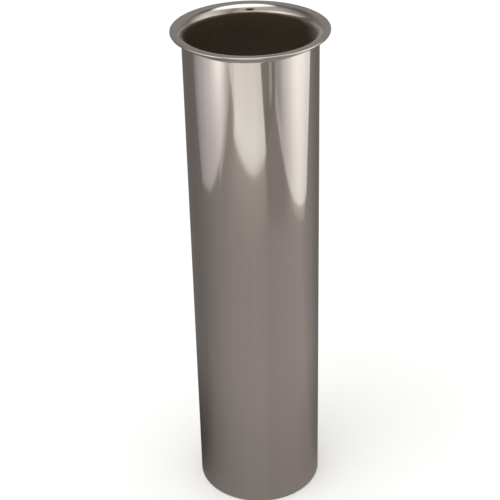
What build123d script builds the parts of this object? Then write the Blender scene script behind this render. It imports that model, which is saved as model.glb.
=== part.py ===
"""Flush-mount fishing rod holder: a straight steel tube whose top end is flared into a narrow flange.

The tube drops through a round hole in a deck or gunwale and hangs by the flange. A rod's butt slides in
from above, until the slot in its end straddles a pin that crosses the bore near the open lower end.
The pin runs through both walls, is welded at each end, and the welds are ground flush with the tube.

Frame: millimetres, +Z up, origin at the centre of the tube's lower end. The cross pin lies along X.
"""

from build123d import *
import math
import os

# The tube
OUTER_RADIUS = 25.4
WALL = 1.24
LENGTH = 202.0
END_ROUND = 0.3  # deburred edges of the lower end

# The flared rim
FLARE_RADIUS = 3.7  # of the upper surface, where the bore turns out into the flange
FLANGE_RADIUS = 29.5
RIM_ROUND_TOP = 0.35
RIM_ROUND_UNDER = 0.8

# The cross pin and its welds
PIN_RADIUS = 3.175
PIN_HOLE_RADIUS = 3.2
PIN_HEIGHT = 19.0
WELD_DEPTH = 0.8  # of the 45 degree countersink that the weld fills

# Below this height the bore narrows a little, down to the lower end
TAPER_HEIGHT = 30.0
BORE_TAPER = 0.1  # off the radius

INNER_RADIUS = OUTER_RADIUS - WALL
LOW_BORE_RADIUS = INNER_RADIUS - BORE_TAPER
FLARE_CENTRE_RADIUS = INNER_RADIUS + FLARE_RADIUS
FLARE_CENTRE_HEIGHT = LENGTH - FLARE_RADIUS
HALF_TURN = math.sqrt(0.5)  # sine and cosine of 45 degrees, for the middle of a quarter arc


def quarter_arc(start, end, centre, radius, way_r, way_z):
    """A quarter circle in the profile. way_r and way_z, 1 or -1, are the side of its centre it lies on."""
    middle = (centre[0] + way_r * radius * HALF_TURN, centre[1] + way_z * radius * HALF_TURN)
    return ThreePointArc(start, middle, end)


def tube_profile():
    """Half section of the tube wall with its flare, as points (radius, height)."""
    inner, low, outer, rim = INNER_RADIUS, LOW_BORE_RADIUS, OUTER_RADIUS, FLANGE_RADIUS
    flare_r, flare_z = FLARE_CENTRE_RADIUS, FLARE_CENTRE_HEIGHT
    top, under, end = RIM_ROUND_TOP, RIM_ROUND_UNDER, END_ROUND
    seat_z = LENGTH - WALL
    rim_low, rim_high = seat_z + under, LENGTH - top
    with BuildSketch(Plane.XZ) as section:
        with BuildLine():
            # lower end and outside wall
            Line((low + end, 0), (outer - end, 0))
            quarter_arc((outer - end, 0), (outer, end), (outer - end, end), end, 1, -1)
            Line((outer, end), (outer, flare_z))
            # underside of the flange
            quarter_arc((outer, flare_z), (flare_r, seat_z), (flare_r, flare_z), FLARE_RADIUS - WALL, -1, 1)
            Line((flare_r, seat_z), (rim - under, seat_z))
            # rounded rim
            quarter_arc((rim - under, seat_z), (rim, rim_low), (rim - under, rim_low), under, 1, -1)
            Line((rim, rim_low), (rim, rim_high))
            quarter_arc((rim, rim_high), (rim - top, LENGTH), (rim - top, rim_high), top, 1, 1)
            # top of the flange and the flare down into the bore
            Line((rim - top, LENGTH), (flare_r, LENGTH))
            quarter_arc((flare_r, LENGTH), (inner, flare_z), (flare_r, flare_z), FLARE_RADIUS, -1, 1)
            # bore
            Line((inner, flare_z), (inner, TAPER_HEIGHT))
            Line((inner, TAPER_HEIGHT), (low, end))
            quarter_arc((low, end), (low + end, 0), (low + end, end), end, -1, -1)
        make_face()
    return section.sketch


def along_x(radius, length):
    """A cylinder on the cross pin's axis."""
    return Pos(0, 0, PIN_HEIGHT) * Rot(0, 90, 0) * Cylinder(radius, length)


def weld_cone(side):
    """The countersunk space at one end of the pin, run out past the tube. side is 1 for +X, -1 for -X."""
    past = 1.0
    depth = WELD_DEPTH + past
    cone = Cone(PIN_HOLE_RADIUS, PIN_HOLE_RADIUS + depth, depth)
    middle = OUTER_RADIUS - WELD_DEPTH + depth / 2
    return Pos(side * middle, 0, PIN_HEIGHT) * Rot(0, side * 90, 0) * cone


def outside_cylinder():
    """The tube's outside surface as a solid, which trims the pin and the welds flush."""
    return Pos(0, 0, LENGTH / 2) * Cylinder(OUTER_RADIUS, LENGTH)


def flared_tube():
    """The tube with its flange, drilled and countersunk for the cross pin."""
    tube = revolve(tube_profile(), Axis.Z)
    tube -= along_x(PIN_HOLE_RADIUS, 4 * OUTER_RADIUS)
    for side in (1, -1):
        tube -= weld_cone(side)
    return tube


def gimbal_pin():
    """The round bar across the bore that a slotted rod butt sits on."""
    return along_x(PIN_RADIUS, 4 * OUTER_RADIUS) & outside_cylinder()


def pin_welds():
    """The two rings of weld that fill the countersinks, ground flush with the tube."""
    rings = []
    for side in (1, -1):
        ring = (weld_cone(side) & outside_cylinder()) - along_x(PIN_RADIUS, 4 * OUTER_RADIUS)
        rings.extend(ring.solids())
    return Compound(children=rings)


NODES = {
    "flared_tube": flared_tube,
    "gimbal_pin": gimbal_pin,
    "pin_welds": pin_welds,
}

os.makedirs("parts", exist_ok=True)
for name, build in NODES.items():
    export_step(build(), f"parts/{name}.step")
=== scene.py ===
"""Looks for the flared steel rod holder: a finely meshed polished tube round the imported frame's cross pin
and welds, on a pale floor in a small studio of soft panels. Metres, +Z up, in the CAD frame."""

import math

import bmesh
import bpy
from mathutils import Matrix, Vector


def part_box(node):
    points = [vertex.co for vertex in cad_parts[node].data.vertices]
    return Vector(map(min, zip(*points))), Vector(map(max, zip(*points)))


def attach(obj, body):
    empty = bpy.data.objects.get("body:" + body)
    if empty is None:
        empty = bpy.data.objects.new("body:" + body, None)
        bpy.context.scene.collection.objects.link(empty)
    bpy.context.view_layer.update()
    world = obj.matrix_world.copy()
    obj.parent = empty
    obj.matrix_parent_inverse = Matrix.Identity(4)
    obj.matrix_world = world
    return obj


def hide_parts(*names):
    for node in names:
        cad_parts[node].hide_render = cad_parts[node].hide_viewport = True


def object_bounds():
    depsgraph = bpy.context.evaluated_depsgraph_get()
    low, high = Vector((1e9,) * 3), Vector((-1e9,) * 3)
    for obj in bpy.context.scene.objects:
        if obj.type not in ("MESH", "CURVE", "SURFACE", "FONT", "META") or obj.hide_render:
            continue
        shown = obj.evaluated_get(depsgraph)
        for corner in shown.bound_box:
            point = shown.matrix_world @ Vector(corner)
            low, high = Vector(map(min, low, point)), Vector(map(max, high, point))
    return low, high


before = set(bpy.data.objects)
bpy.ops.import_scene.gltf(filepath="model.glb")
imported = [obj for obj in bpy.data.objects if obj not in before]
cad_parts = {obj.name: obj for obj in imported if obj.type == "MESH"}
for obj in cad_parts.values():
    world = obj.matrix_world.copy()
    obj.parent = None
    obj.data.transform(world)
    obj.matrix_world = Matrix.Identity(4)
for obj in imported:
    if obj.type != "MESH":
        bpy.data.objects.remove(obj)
cad_low, cad_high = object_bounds()

MM = 0.001


def to_hundredth(size):
    """A size read off the frame, to the nearest hundredth of a millimetre."""
    return round(size, 5)


# The tube's section: what the frame shows is read off it, and the rest is as in the CAD source
pin_low, pin_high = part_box("gimbal_pin")
OUTER = to_hundredth(pin_high.x)  # the pin's ends are flush with the tube's outside
PIN_HEIGHT = to_hundredth((pin_low.z + pin_high.z) / 2)
LENGTH = to_hundredth(cad_high.z)
FLANGE = to_hundredth(cad_high.x)
WALL = 1.24 * MM
BORE = OUTER - WALL
END_ROUND = 0.3 * MM
FLARE = 3.7 * MM
RIM_TOP = 0.35 * MM
RIM_UNDER = 0.8 * MM
HOLE_RADIUS = 3.2 * MM
WELD_DEPTH = 0.8 * MM
TAPER_HEIGHT = 30.0 * MM
BORE_TAPER = 0.1 * MM

# The mesh
TUBE_SEGMENTS = 384
HOLE_SEGMENTS = 64
SLIVER = 0.001 * MM  # edges shorter than this are left over from a cut
ON_SKIN = 0.004 * MM  # how near a point has to be to the section to lie on it
SMOOTH_COSINE = 0.8  # faces that turn further than this from a normal don't take it


# ---------------------------------------------------------------- meshes

def arc(centre, radius, start, end, steps):
    """Points (radius, height) on an arc from one angle to another, in degrees, both ends included."""
    points = []
    for i in range(steps + 1):
        a = math.radians(start + (end - start) * i / steps)
        points.append((centre[0] + radius * math.cos(a), centre[1] + radius * math.sin(a)))
    return points


def run(start, end, steps):
    """Points strictly between two points."""
    return [(start[0] + (end[0] - start[0]) * i / steps, start[1] + (end[1] - start[1]) * i / steps)
            for i in range(1, steps)]


def tube_section():
    """The closed section of the wall, anticlockwise: lower end, outside, flange, flare, bore."""
    low = BORE - BORE_TAPER
    under = LENGTH - WALL
    flare_centre = (BORE + FLARE, LENGTH - FLARE)
    parts = [
        arc((low + END_ROUND, END_ROUND), END_ROUND, 180, 270, 5),
        arc((OUTER - END_ROUND, END_ROUND), END_ROUND, 270, 360, 5),
        run((OUTER, END_ROUND), (OUTER, flare_centre[1]), 60),
        arc(flare_centre, FLARE - WALL, 180, 90, 16),
        arc((FLANGE - RIM_UNDER, under + RIM_UNDER), RIM_UNDER, 270, 360, 8),
        arc((FLANGE - RIM_TOP, LENGTH - RIM_TOP), RIM_TOP, 0, 90, 10),
        arc(flare_centre, FLARE, 90, 180, 24),
        run((BORE, flare_centre[1]), (BORE, TAPER_HEIGHT), 50),
        run((BORE, TAPER_HEIGHT), (low, END_ROUND), 10),
    ]
    return [p for part in parts for p in part]


def link_mesh(name, mesh):
    """A new object in the scene that shows the mesh."""
    made = bpy.data.objects.new(name, mesh)
    bpy.context.scene.collection.objects.link(made)
    return made


def lathe(name, section, segments):
    """A closed section turned round the Z axis."""
    count = len(section)
    verts = []
    for s in range(segments):
        a = 2 * math.pi * s / segments
        verts += [(r * math.cos(a), r * math.sin(a), z) for r, z in section]
    faces = []
    for s in range(segments):
        t = (s + 1) % segments
        for i in range(count):
            j = (i + 1) % count
            faces.append((s * count + i, t * count + i, t * count + j, s * count + j))
    mesh = bpy.data.meshes.new(name)
    mesh.from_pydata(verts, [], faces)
    mesh.update()
    return link_mesh(name, mesh)


def spindle(stations, segments):
    """A closed solid round the cross pin's axis, through rings given as (x, radius)."""
    bm = bmesh.new()
    angles = [2 * math.pi * (i + 0.5) / segments for i in range(segments)]
    rings = []
    for x, radius in stations:
        rings.append([bm.verts.new((x, radius * math.cos(a), PIN_HEIGHT + radius * math.sin(a)))
                      for a in angles])
    for ring, following in zip(rings, rings[1:]):
        for i in range(segments):
            j = (i + 1) % segments
            bm.faces.new((ring[i], following[i], following[j], ring[j]))
    bm.faces.new(rings[0])
    bm.faces.new(rings[-1])
    bmesh.ops.recalc_face_normals(bm, faces=bm.faces)
    mesh = bpy.data.meshes.new("spindle")
    bm.to_mesh(mesh)
    bm.free()
    return link_mesh("spindle", mesh)


def pin_drill():
    """What the tube loses to the cross pin: a hole right through, countersunk at both ends for the welds."""
    sink = OUTER - WELD_DEPTH
    past = 1.0 * MM
    x, radius = OUTER + past, HOLE_RADIUS + WELD_DEPTH + past
    return spindle([(-x, radius), (-sink, HOLE_RADIUS), (sink, HOLE_RADIUS), (x, radius)], HOLE_SEGMENTS)


def subtract(piece, tool):
    """Cuts the tool out of the piece for good, removes it, and clears the slivers the cut leaves."""
    modifier = piece.modifiers.new("cut", "BOOLEAN")
    modifier.operation = "DIFFERENCE"
    modifier.solver = "EXACT"
    modifier.object = tool
    graph = bpy.context.evaluated_depsgraph_get()
    mesh = bpy.data.meshes.new_from_object(piece.evaluated_get(graph))
    piece.modifiers.clear()
    bpy.data.objects.remove(tool)
    bm = bmesh.new()
    bm.from_mesh(mesh)
    bmesh.ops.remove_doubles(bm, verts=bm.verts, dist=SLIVER)
    bmesh.ops.dissolve_degenerate(bm, dist=SLIVER, edges=bm.edges)
    bm.to_mesh(mesh)
    bm.free()
    piece.data = mesh


def section_normal(x, y, z):
    """The true outward normal of the tube's walls and flare at a point on them, or None anywhere else."""
    r = math.hypot(x, y)
    flare = (r - (BORE + FLARE), z - (LENGTH - FLARE))
    flare_r = math.hypot(*flare)
    out = None
    if z >= LENGTH - FLARE and flare[0] <= 0:
        if abs(flare_r - FLARE) < ON_SKIN:
            out = (flare[0] / flare_r, flare[1] / flare_r)
        elif abs(flare_r - (FLARE - WALL)) < ON_SKIN:
            out = (-flare[0] / flare_r, -flare[1] / flare_r)
    elif END_ROUND < z < LENGTH - FLARE:
        if abs(r - OUTER) < ON_SKIN:
            out = (1.0, 0.0)
        elif r < BORE + ON_SKIN:
            out = (-1.0, 0.0)
    if out is None:
        return None
    return Vector((out[0] * x / r, out[0] * y / r, out[1]))


def shade(piece):
    """Smooth shading, with the skin's true normals where they are known."""
    mesh = piece.data
    mesh.polygons.foreach_set("use_smooth", [True] * len(mesh.polygons))
    mesh.update()
    normals = []
    for polygon in mesh.polygons:
        for loop in polygon.loop_indices:
            vertex = mesh.vertices[mesh.loops[loop].vertex_index]
            normal = section_normal(*vertex.co)
            if normal is None or normal.dot(polygon.normal) < SMOOTH_COSINE:
                normal = vertex.normal
                if normal.dot(polygon.normal) < SMOOTH_COSINE:
                    normal = polygon.normal
            normals.append(tuple(normal))
    mesh.normals_split_custom_set(normals)


# ---------------------------------------------------------------- node trees

class Nodes:
    """A short way to write a node tree."""

    def __init__(self, tree):
        self.tree = tree
        tree.nodes.clear()

    def set(self, socket, value):
        """Links the socket to another node's output, or gives it a plain value."""
        if isinstance(value, bpy.types.NodeSocket):
            self.tree.links.new(value, socket)
        else:
            socket.default_value = value

    def add(self, kind, values=(), **settings):
        node = self.tree.nodes.new(kind)
        for key, value in settings.items():
            setattr(node, key, value)
        for key, value in dict(values).items():
            self.set(node.inputs[key], value)
        return node

    def math(self, operation, *values):
        return self.add("ShaderNodeMath", enumerate(values), operation=operation).outputs[0]

    def plus(self, a, b):
        return self.math("ADD", a, b)

    def minus(self, a, b):
        return self.math("SUBTRACT", a, b)

    def times(self, first, *others):
        product = first
        for other in others:
            product = self.math("MULTIPLY", product, other)
        return product

    def over(self, a, b):
        return self.math("DIVIDE", a, b)

    def hypot(self, a, b):
        return self.math("SQRT", self.plus(self.times(a, a), self.times(b, b)))

    def smooth(self, value, low, high, to_low=0.0, to_high=1.0):
        """Goes softly from to_low to to_high as value goes from low to high."""
        return self.add("ShaderNodeMapRange", {"Value": value, "From Min": low, "From Max": high,
                                               "To Min": to_low, "To Max": to_high},
                        interpolation_type="SMOOTHSTEP").outputs["Result"]

    def ramp(self, share, stops):
        """A colour that runs through stops, each (share, colour), as share goes from 0 to 1."""
        node = self.add("ShaderNodeValToRGB", {"Fac": share})
        elements = node.color_ramp.elements
        while len(elements) < len(stops):
            elements.new(0.5)
        for element, (position, colour) in zip(elements, stops):
            element.position = position
            element.color = (*colour, 1)
        return node.outputs["Color"]

    def mix(self, factor, a, b):
        """Colour a where factor is 0, and b where it is 1."""
        node = self.add("ShaderNodeMix", data_type="RGBA")
        self.set(node.inputs["Factor"], factor)
        self.set(node.inputs[6], a)  # 6, 7 and 2 are this node's colour sockets
        self.set(node.inputs[7], b)
        return node.outputs[2]

    def place(self):
        """The point being shaded, in metres: as a vector, then x, y and z."""
        vector = self.add("ShaderNodeTexCoord").outputs["Object"]
        return vector, *self.add("ShaderNodeSeparateXYZ", {0: vector}).outputs

    def stretch(self, vector, scale):
        return self.add("ShaderNodeMapping", {"Vector": vector, "Scale": scale}).outputs["Vector"]

    def noise(self, vector, scale, detail=2.0, roughness=0.5):
        return self.add("ShaderNodeTexNoise", {"Vector": vector, "Scale": scale, "Detail": detail,
                                               "Roughness": roughness}).outputs["Fac"]

    def bump(self, height, distance, under=None):
        """The normal of a surface raised by height times distance, on top of another bump if one is given."""
        values = {"Height": height, "Distance": distance, "Strength": 1.0}
        if under is not None:
            values["Normal"] = under
        return self.add("ShaderNodeBump", values).outputs["Normal"]

    def principled(self, values):
        """Closes a material's tree with its shader."""
        shader = self.add("ShaderNodeBsdfPrincipled", values)
        self.add("ShaderNodeOutputMaterial", {"Surface": shader.outputs[0]})


def new_material(name):
    material = bpy.data.materials.new(name)
    material.use_nodes = True
    return material, Nodes(material.node_tree)


# ---------------------------------------------------------------- steel

def bore_masks(n, place, x, y, z):
    """Where the tube's skin turns from polished to drawn metal.

    The buffing wheel reached over the flare and a little way in, furthest at the back. Gives the depth down
    the bore, shifted so that the polish ends at one depth all round, then 1 on the drawn metal and 0 on the
    polished skin, and then where a painted sheen lightens the drawn metal on the right side.
    """
    radius = n.hypot(x, y)
    down = n.minus(LENGTH, z)
    at_back = n.smooth(y, 4 * MM, 8 * MM)

    bend = n.hypot(n.minus(BORE + FLARE, radius), n.math("MAXIMUM", n.minus(z, LENGTH - FLARE), 0.0))
    inner_face = n.times(n.smooth(bend, FLARE - 0.7 * WALL, FLARE - 0.3 * WALL),
                         n.smooth(radius, BORE + 2.9 * MM, BORE + 2.5 * MM))

    ragged = n.times(n.minus(n.noise(place, 160.0), 0.5), 0.3 * MM)
    depth = n.plus(down, ragged)
    side = n.over(y, radius)
    backward = n.math("POWER", n.math("MAXIMUM", side, 0.0), 0.55)
    depth = n.minus(depth, n.times(backward, 2.0 * MM))
    depth = n.plus(depth, n.smooth(side, 0.0, -0.35, 0.0, 0.6 * MM))
    depth = n.plus(depth, n.smooth(x, 8 * MM, 20 * MM, 0.0, 0.2 * MM))
    depth = n.plus(depth, n.times(n.smooth(x, 18 * MM, 22 * MM, 0.0, 0.35 * MM), at_back))
    bore = n.times(inner_face, n.smooth(depth, 0.66 * MM, 0.80 * MM))

    # painted sheen: palest at the far right, and less in a patch behind that, which ends along a sloping line
    painted_sheen = n.times(n.smooth(x, 20.8 * MM, 24.8 * MM), n.smooth(depth, 12 * MM, 4 * MM))
    patch_foot = n.plus(n.times(n.minus(x, 18.8 * MM), 0.375), 3.2 * MM)
    patch = n.times(n.smooth(n.minus(down, patch_foot), 0.35 * MM, -0.35 * MM, 0.0, 0.48),
                    n.smooth(x, 17.8 * MM, 18.6 * MM), n.smooth(depth, 1.2 * MM, 2.0 * MM), at_back)
    return depth, bore, n.math("MAXIMUM", painted_sheen, patch)


def polished_tube():
    """Mirror-polished stainless outside and over the flare, plain drawn metal down the bore, dark with
    painted shade.
    """
    material, n = new_material("polished_stainless")
    place, x, y, z = n.place()
    depth, bore, painted_sheen = bore_masks(n, place, x, y, z)

    # fine lines and faint streaks of the draw, the buffing's lines, a thin uneven film and a slow wave
    draw = n.noise(n.stretch(place, (1.0, 1.0, 0.02)), 2600.0, 3.0)
    streak = n.noise(n.stretch(place, (1.0, 1.0, 0.02)), 190.0, 3.0, 0.55)
    buff = n.noise(n.stretch(place, (1.0, 1.0, 0.15)), 700.0, 4.0, 0.6)
    film = n.smooth(n.noise(place, 55.0, 3.0, 0.6), 0.35, 0.75)
    wave = n.noise(n.stretch(place, (1.0, 1.0, 0.45)), 42.0, 2.0, 0.4)

    skin = n.mix(film, (0.620, 0.598, 0.568, 1), (0.600, 0.575, 0.543, 1))
    skin = n.mix(n.smooth(streak, 0.30, 0.72), skin, (0.585, 0.560, 0.533, 1))
    # the bore's brown is the drawn metal's dull tone, darkened further with painted shade, and lighter
    # further down
    inside = n.mix(buff, (0.206, 0.165, 0.122, 1), (0.190, 0.151, 0.111, 1))
    inside = n.mix(n.smooth(depth, 6 * MM, 26 * MM), inside, (0.370, 0.285, 0.225, 1))
    # painted sheen: the drawn metal is lighter on the right side
    inside = n.mix(painted_sheen, inside, (0.46, 0.42, 0.38, 1))

    skin_rough = n.plus(n.plus(n.times(draw, 0.035), n.times(film, 0.03)), 0.042)
    bore_rough = n.plus(n.times(buff, 0.06), 0.25)
    dullness = n.times(bore, n.plus(n.times(painted_sheen, 0.1), 0.22))

    normal = n.bump(wave, 0.07 * MM)
    normal = n.bump(draw, 0.0006 * MM, normal)
    normal = n.bump(n.times(buff, bore), 0.001 * MM, normal)

    n.principled({"Base Color": n.mix(bore, skin, inside), "Metallic": n.minus(1.0, dullness),
                  "Roughness": n.plus(n.times(skin_rough, n.minus(1.0, bore)), n.times(bore_rough, bore)),
                  "Normal": normal})
    return material


def ground_steel(name, pale, dark, scratch_scale, along, rough_low, rough_high):
    """Stainless left as drawn or ground, scratched one way, and polished where it meets the tube's skin."""
    material, n = new_material(name)
    place, x, y, _ = n.place()
    raw = n.smooth(n.hypot(x, y), OUTER - 0.10 * MM, OUTER - 0.25 * MM, 0.12, 1.0)
    scratch = n.noise(n.stretch(place, along), scratch_scale, 4.0, 0.65)
    cloud = n.noise(place, 260.0, 3.0)
    rough = n.times(n.smooth(scratch, 0.25, 0.75, rough_low, rough_high), n.plus(n.times(raw, 0.45), 0.55))
    normal = n.bump(n.times(scratch, raw), 0.008 * MM)
    normal = n.bump(n.times(cloud, raw), 0.02 * MM, normal)
    n.principled({"Base Color": n.mix(n.smooth(cloud, 0.3, 0.7), pale, dark), "Metallic": 1.0,
                  "Roughness": rough, "Normal": normal})
    return material


# ---------------------------------------------------------------- the object

tube = lathe("tube_polished", tube_section(), TUBE_SEGMENTS)
subtract(tube, pin_drill())
shade(tube)
tube.data.materials.clear()
tube.data.materials.append(polished_tube())
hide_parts("flared_tube")
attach(tube, "root")


def dress(node, material):
    """Gives a carried-over CAD node its material."""
    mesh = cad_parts[node].data
    for i in range(len(mesh.materials)):
        mesh.materials[i] = material


dress("gimbal_pin", ground_steel("drawn_bar", (0.56, 0.545, 0.52, 1), (0.47, 0.455, 0.43, 1), 1500.0,
                                 (0.03, 1.0, 1.0), 0.16, 0.34))
dress("pin_welds", ground_steel("ground_weld", (0.54, 0.52, 0.49, 1), (0.43, 0.40, 0.35, 1), 2200.0,
                                (1.0, 1.0, 0.06), 0.22, 0.42))


# ---------------------------------------------------------------- the studio's floor and panels

FLOOR_SIDE = 12.0
SHEET_RADIUS = 0.95
SHEET_HEIGHT = -0.002
PANEL_TOP = 0.20
FRONT = -0.335  # y of the front panel
BACK = 0.335  # y of the back panel
RIGHT = 0.27  # x of the right panel
LEFT = -0.2962  # x of the left panel at y = 0
LEFT_SLANT = -0.0253  # and how x changes along it
SIDE_RUN = 0.5  # how far along a side panel its colours run


def stage_plane(name, corners):
    """A flat card of the studio."""
    mesh = bpy.data.meshes.new(name)
    mesh.from_pydata(corners, [], [tuple(range(len(corners)))])
    made = link_mesh(name, mesh)
    return made


def panel(name, outline, build):
    """A card that only the steel sees. build(n, x, y, z) gives its light's colour and strength."""
    made = stage_plane(name, outline)
    made.visible_camera = False
    made.visible_diffuse = False
    made.visible_transmission = False
    made.visible_volume_scatter = False
    made.visible_shadow = False
    material, n = new_material(name)
    _, x, y, z = n.place()
    colour, strength = build(n, x, y, z)
    light = n.add("ShaderNodeEmission", {"Color": colour, "Strength": strength})
    n.add("ShaderNodeOutputMaterial", {"Surface": light.outputs[0]})
    made.data.materials.append(material)


def facing_front(y, outline):
    """An outline of (x, z) stood up across the view."""
    return [(x, y, z) for x, z in outline]


def facing_side(x, outline):
    """An outline of (y, z) stood up along the view."""
    return [(x, y, z) for y, z in outline]


def upright(y, left, right, low, high):
    """An upright rectangle across the view."""
    return facing_front(y, [(left, low), (right, low), (right, high), (left, high)])


def even_glow(red, green, blue):
    """One colour all over a panel."""
    return lambda n, x, y, z: ((red, green, blue, 1), 1.0)


def azimuth(n, x, y):
    """The way to (x, y) as a share of a turn: 0.5 is towards the camera, less is left, more is right."""
    return n.plus(n.over(n.math("ARCTAN2", x, n.times(y, -1.0)), 2 * math.pi), 0.5)


def pale_floor():
    half = FLOOR_SIDE / 2
    floor = stage_plane("floor", [(-half, -half, 0), (half, -half, 0), (half, half, 0), (-half, half, 0)])
    floor.visible_glossy = False
    material, n = new_material("pale_floor")
    place = n.place()[0]
    tone = n.mix(n.noise(place, 6.0, 3.0), (0.960, 0.960, 0.956, 1), (0.972, 0.972, 0.968, 1))
    n.principled({"Base Color": tone, "Roughness": 0.7, "Specular IOR Level": 0.2})
    floor.data.materials.append(material)


def sheet_glow(n, x, y, z):
    """A mid-grey sheet, lighter towards the panels, with painted shade close to the tube and a painted shadow
    inside it.
    """
    turn = azimuth(n, x, y)
    near = n.ramp(turn, [
        (0.00, (0.075, 0.070, 0.067)), (0.15, (0.045, 0.041, 0.039)), (0.23, (0.088, 0.080, 0.077)),
        (0.30, (0.195, 0.178, 0.168)), (0.38, (0.290, 0.263, 0.250)), (0.47, (0.330, 0.298, 0.283)),
        (0.57, (0.330, 0.294, 0.280)), (0.66, (0.335, 0.298, 0.286)), (0.73, (0.275, 0.244, 0.235)),
        (0.80, (0.175, 0.157, 0.153)), (1.00, (0.075, 0.070, 0.067))])
    far = n.ramp(turn, [
        (0.00, (0.160, 0.148, 0.142)), (0.16, (0.195, 0.180, 0.172)), (0.23, (0.228, 0.208, 0.200)),
        (0.30, (0.305, 0.274, 0.265)), (0.39, (0.385, 0.343, 0.329)), (0.49, (0.415, 0.368, 0.352)),
        (0.58, (0.390, 0.345, 0.330)), (0.67, (0.425, 0.375, 0.362)), (0.74, (0.435, 0.383, 0.375)),
        (0.80, (0.325, 0.290, 0.284)), (0.88, (0.200, 0.180, 0.175)), (1.00, (0.160, 0.148, 0.142))])
    radius = n.hypot(x, y)
    # painted shade: the sheet is darker close to the tube
    colour = n.mix(n.smooth(radius, 0.018, 0.130), near, far)

    # the strip that the right panel lights along its foot, a stretch of painted shade, and the left panel's
    # strip
    right_foot = n.times(n.smooth(x, RIGHT - 0.012, RIGHT - 0.008), n.smooth(y, 0.040, 0.010),
                         n.smooth(y, -0.16, -0.08))
    colour = n.mix(right_foot, colour, (0.58, 0.525, 0.485, 1))
    dim = n.times(n.smooth(turn, 0.54, 0.57), n.smooth(turn, 0.68, 0.64), n.smooth(radius, 0.24, 0.30))
    colour = n.mix(n.times(dim, 0.6), colour, (0.27, 0.24, 0.23, 1))
    left_foot = n.times(n.smooth(x, -0.266, -0.278), n.smooth(y, -0.15, -0.20))
    colour = n.mix(left_foot, colour, (0.62, 0.57, 0.56, 1))

    # what the front panel throws on it, brightest along its foot
    facing = n.times(n.smooth(x, -0.25, -0.15), n.smooth(x, 0.13, 0.10))
    wash = n.times(facing, n.smooth(y, -0.22, FRONT + 0.005, 0.0, 0.45))
    colour = n.mix(wash, colour, (0.58, 0.525, 0.485, 1))
    front_foot = n.times(facing, n.smooth(y, FRONT + 0.005, FRONT + 0.001))
    colour = n.mix(front_foot, colour, (0.82, 0.77, 0.71, 1))
    # painted shadow: inside the tube's foot the sheet glows at a tenth
    outside = n.smooth(radius, 0.022, 0.026, 0.10, 1.0)
    return colour, outside


def front_glow(n, x, y, z):
    """A white card, warmer and dimmer towards its top, and dimmer at both ends, the left one most."""
    colour = n.ramp(n.over(z, PANEL_TOP), [
        (0.00, (1.07, 1.02, 0.97)), (0.10, (1.16, 1.12, 1.08)), (0.30, (1.08, 1.02, 0.96)),
        (0.55, (0.98, 0.92, 0.84)), (1.00, (0.80, 0.74, 0.64))])
    ends = n.times(n.smooth(x, 0.0, 0.12, 1.0, 0.87), n.smooth(x, -0.26, -0.21, 0.81, 1.0))
    shaded = n.times(n.smooth(x, -0.160, -0.185), n.smooth(z, 0.006, 0.012))
    ends = n.times(ends, n.minus(1.0, n.times(shaded, 0.16)))
    return colour, n.times(ends, n.smooth(z, -0.002, 0.004, 0.92, 1.0))


def wall_glow(n, x, y, z):
    """A grey wall, a little lighter beside the front panel, but not at its foot."""
    lighter = n.times(n.smooth(x, 0.19, 0.15), n.smooth(z, 0.012, 0.042))
    return n.mix(lighter, (0.27, 0.245, 0.225, 1), (0.30, 0.272, 0.248, 1)), 1.0


def left_glow(n, x, y, z):
    """A white card with a lamp's pool of light on it, halfway up and towards the front."""
    colour = n.ramp(n.over(n.minus(0.10, y), SIDE_RUN), [
        (0.00, (0.20, 0.18, 0.19)), (0.06, (0.32, 0.29, 0.30)), (0.17, (0.48, 0.436, 0.456)),
        (0.31, (0.64, 0.589, 0.60)), (0.60, (0.64, 0.598, 0.59)), (1.00, (0.60, 0.565, 0.53))])
    along = n.over(n.plus(y, 0.24), 0.075)
    up = n.over(n.minus(z, 0.100), 0.070)
    pool = n.math("EXPONENT", n.times(n.plus(n.times(along, along), n.times(up, up)), -0.5))
    strength = n.times(n.plus(n.times(pool, 1.35), 1.0), n.smooth(z, 0.015, 0.075, 0.97, 1.14))
    return colour, n.times(strength, n.smooth(z, -0.002, 0.008, 0.90, 1.0))


def right_glow(n, x, y, z):
    """A white card, brightest beside the tube and at its top. Its front end is dim above the foot."""
    colour = n.ramp(n.over(n.minus(0.12, y), SIDE_RUN), [
        (0.00, (0.86, 0.83, 0.82)), (0.16, (1.00, 0.96, 0.94)), (0.24, (1.16, 1.12, 1.09)),
        (0.34, (1.17, 1.12, 1.09)), (0.43, (1.06, 1.01, 0.98)), (0.52, (0.88, 0.83, 0.80)),
        (0.62, (0.72, 0.67, 0.65)), (0.75, (0.53, 0.49, 0.47)), (1.00, (0.45, 0.41, 0.39))])
    strength = n.times(n.smooth(z, 0.0, 0.12, 1.02, 1.28), n.smooth(z, -0.002, 0.003, 0.94, 1.0))
    near_end = n.times(n.minus(n.smooth(z, 0.0, 0.03, 1.30, 0.84), 1.0), n.smooth(y, -0.20, -0.27))
    return colour, n.times(strength, n.plus(near_end, 1.0))


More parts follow.
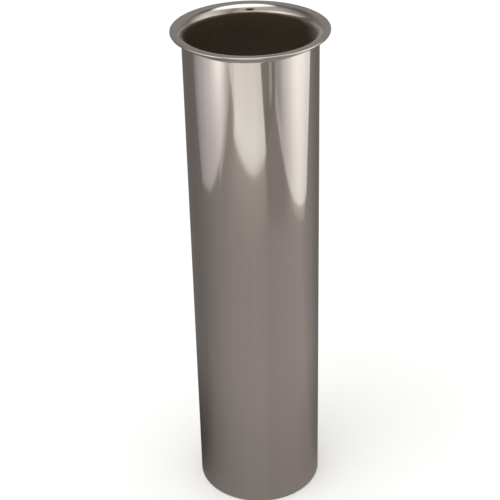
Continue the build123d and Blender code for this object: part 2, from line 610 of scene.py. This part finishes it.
pale_floor()
panel("grey_sheet", [(SHEET_RADIUS * math.cos(math.radians(a)), SHEET_RADIUS * math.sin(math.radians(a)),
                      SHEET_HEIGHT) for a in range(0, 360, 4)], sheet_glow)
panel("front_panel", facing_front(FRONT, [
    (-0.204, -0.001), (0.133, -0.001), (0.088, 0.07), (0.088, PANEL_TOP), (-0.285, PANEL_TOP),
    (-0.285, 0.046), (-0.240, 0.038), (-0.222, 0.031), (-0.194, 0.024), (-0.190, 0.010)]), front_glow)
panel("far_wall", upright(FRONT - 0.010, 0.07, 0.34, 0.0, PANEL_TOP), wall_glow)
panel("pale_strip", upright(FRONT + 0.005, 0.178, 0.214, 0.026, PANEL_TOP), even_glow(0.48, 0.44, 0.405))
panel("left_panel", [(LEFT + LEFT_SLANT * y, y, z) for y, z in (
    (0.030, 0.003), (0.062, 0.031), (0.081, 0.055), (0.088, 0.070), (0.088, PANEL_TOP), (-0.470, PANEL_TOP),
    (-0.470, -0.001), (-0.061, -0.001), (-0.016, 0.002))], left_glow)
panel("right_panel", facing_side(RIGHT, [
    (0.028, 0.003), (-0.060, 0.0015), (-0.130, -0.001), (-0.400, -0.001), (-0.400, PANEL_TOP),
    (0.115, PANEL_TOP), (0.115, 0.10), (0.051, 0.007)]), right_glow)
panel("back_panel", upright(BACK, -0.08, 0.08, 0.0, PANEL_TOP), even_glow(0.95, 0.91, 0.88))


# ---------------------------------------------------------------- the room above the panels

LAMP_GAP_RIGHT = (0.374, 0.416, 0.829)
LAMP_GAP_LEFT = (-0.428, 0.547, 0.719)
LAMP_SKIRT = (0.0, -0.50, 1.0)
LAMP = (0.10, 0.01, 1.0)
CAMERA_BODY = (0.0, -0.86, 0.51)
CAMERA_HOOD = (0.0, -0.71, 0.70)


def near_direction(n, aim, direction, edge, core):
    """1 within core degrees of a direction, 0 beyond edge degrees."""
    towards = Vector(direction).normalized()
    level = n.plus(n.times(aim[0], towards.x), n.times(aim[1], towards.y))
    cosine = n.plus(level, n.times(aim[2], towards.z))
    return n.smooth(cosine, math.cos(math.radians(edge)), math.cos(math.radians(core)))


def room(n, aim):
    """What the steel sees over the panels: pale sides, a beige front, grey behind, a lamp, and the camera."""
    turn = azimuth(n, aim[0], aim[1])
    low = n.ramp(turn, [
        (0.00, (0.325, 0.300, 0.285)), (0.15, (0.20, 0.187, 0.18)), (0.175, (0.24, 0.225, 0.215)),
        (0.22, (0.60, 0.57, 0.55)), (0.29, (1.27, 1.24, 1.20)), (0.345, (1.60, 1.55, 1.48)),
        (0.39, (1.30, 1.25, 1.17)), (0.43, (1.02, 0.96, 0.87)), (0.50, (0.95, 0.88, 0.77)),
        (0.565, (0.66, 0.59, 0.51)), (0.595, (0.33, 0.30, 0.26)), (0.64, (0.76, 0.72, 0.67)),
        (0.72, (1.15, 1.11, 1.08)), (0.79, (0.80, 0.76, 0.74)), (0.86, (0.28, 0.26, 0.25)),
        (1.00, (0.325, 0.300, 0.285))])
    high = n.ramp(turn, [
        (0.00, (0.38, 0.355, 0.335)), (0.05, (0.29, 0.27, 0.255)), (0.10, (0.20, 0.187, 0.178)),
        (0.15, (0.20, 0.187, 0.178)), (0.22, (0.38, 0.36, 0.35)), (0.30, (0.55, 0.53, 0.51)),
        (0.40, (0.62, 0.59, 0.55)), (0.47, (0.58, 0.54, 0.49)), (0.56, (0.56, 0.51, 0.45)),
        (0.595, (0.38, 0.35, 0.31)), (0.63, (0.52, 0.50, 0.45)), (0.70, (0.80, 0.775, 0.75)),
        (0.76, (0.90, 0.87, 0.85)), (0.81, (0.58, 0.56, 0.55)), (0.86, (0.23, 0.215, 0.205)),
        (0.90, (0.30, 0.28, 0.265)), (0.94, (0.37, 0.345, 0.325)), (1.00, (0.38, 0.355, 0.335))])
    colour = n.mix(n.smooth(aim[2], 0.25, 0.66), low, high)
    horizon = n.times(n.smooth(aim[1], 0.2, 0.5), n.smooth(aim[2], 0.22, 0.15))
    colour = n.mix(horizon, colour, (0.42, 0.395, 0.38, 1))
    for direction, edge, core, tone in (
            (LAMP_GAP_RIGHT, 10, 5, (0.11, 0.10, 0.093, 1)),
            (LAMP_GAP_LEFT, 11, 5, (0.14, 0.13, 0.121, 1)),
            (LAMP_SKIRT, 17, 12, (0.72, 0.70, 0.68, 1)),
            (LAMP, 28, 17.5, (1.9, 1.88, 1.84, 1)),
            (CAMERA_BODY, 8, 6, (0.02, 0.017, 0.014, 1)),
            (CAMERA_HOOD, 8, 6, (0.02, 0.017, 0.014, 1))):
        colour = n.mix(near_direction(n, aim, direction, edge, core), colour, tone)
    return colour


def light_room():
    """The room for the steel's reflections, and an even white light for everything else."""
    world = bpy.data.worlds.new("studio")
    bpy.context.scene.world = world
    world.use_nodes = True
    n = Nodes(world.node_tree)
    aim = n.add("ShaderNodeSeparateXYZ", {0: n.add("ShaderNodeTexCoord").outputs["Generated"]}).outputs
    is_reflection = n.add("ShaderNodeLightPath").outputs["Is Glossy Ray"]
    colour = n.mix(is_reflection, (1.03, 1.03, 1.025, 1), room(n, aim))
    back = n.add("ShaderNodeBackground", {"Color": colour, "Strength": 1.0})
    n.add("ShaderNodeOutputWorld", {"Surface": back.outputs[0]})


def key_light(place, target, size, power):
    """A round soft light on the floor and the object, which doesn't show in the steel."""
    data = bpy.data.lights.new("key", "AREA")
    data.shape = "DISK"
    data.size = size
    data.energy = power
    made = bpy.data.objects.new("key", data)
    bpy.context.scene.collection.objects.link(made)
    made.location = place
    made.rotation_euler = (Vector(target) - Vector(place)).to_track_quat("-Z", "Y").to_euler()
    made.visible_glossy = False
    made.visible_camera = False


light_room()
key_light((-0.5, -0.4, 1.3), (0.0, 0.0, 0.05), 0.9, 3.0)


# ---------------------------------------------------------------- camera

CAMERA_PLACE = (0.0, -0.45929, 0.37522)
CAMERA_FORWARD = (-0.00388, 0.86468, -0.50231)
CAMERA_RIGHT = (0.99974, -0.00792, -0.02135)

camera = bpy.data.objects.new("camera", bpy.data.cameras.new("camera"))
bpy.context.scene.collection.objects.link(camera)
camera.data.sensor_width = 36.0
camera.data.lens = 95.7
camera.data.clip_start = 0.01
forward = Vector(CAMERA_FORWARD).normalized()
right = Vector(CAMERA_RIGHT).normalized()
turned = Matrix((right, right.cross(forward), -forward)).transposed().to_4x4()
camera.matrix_world = Matrix.Translation(CAMERA_PLACE) @ turned
bpy.context.scene.camera = camera
bpy.context.scene.view_settings.view_transform = "Standard"
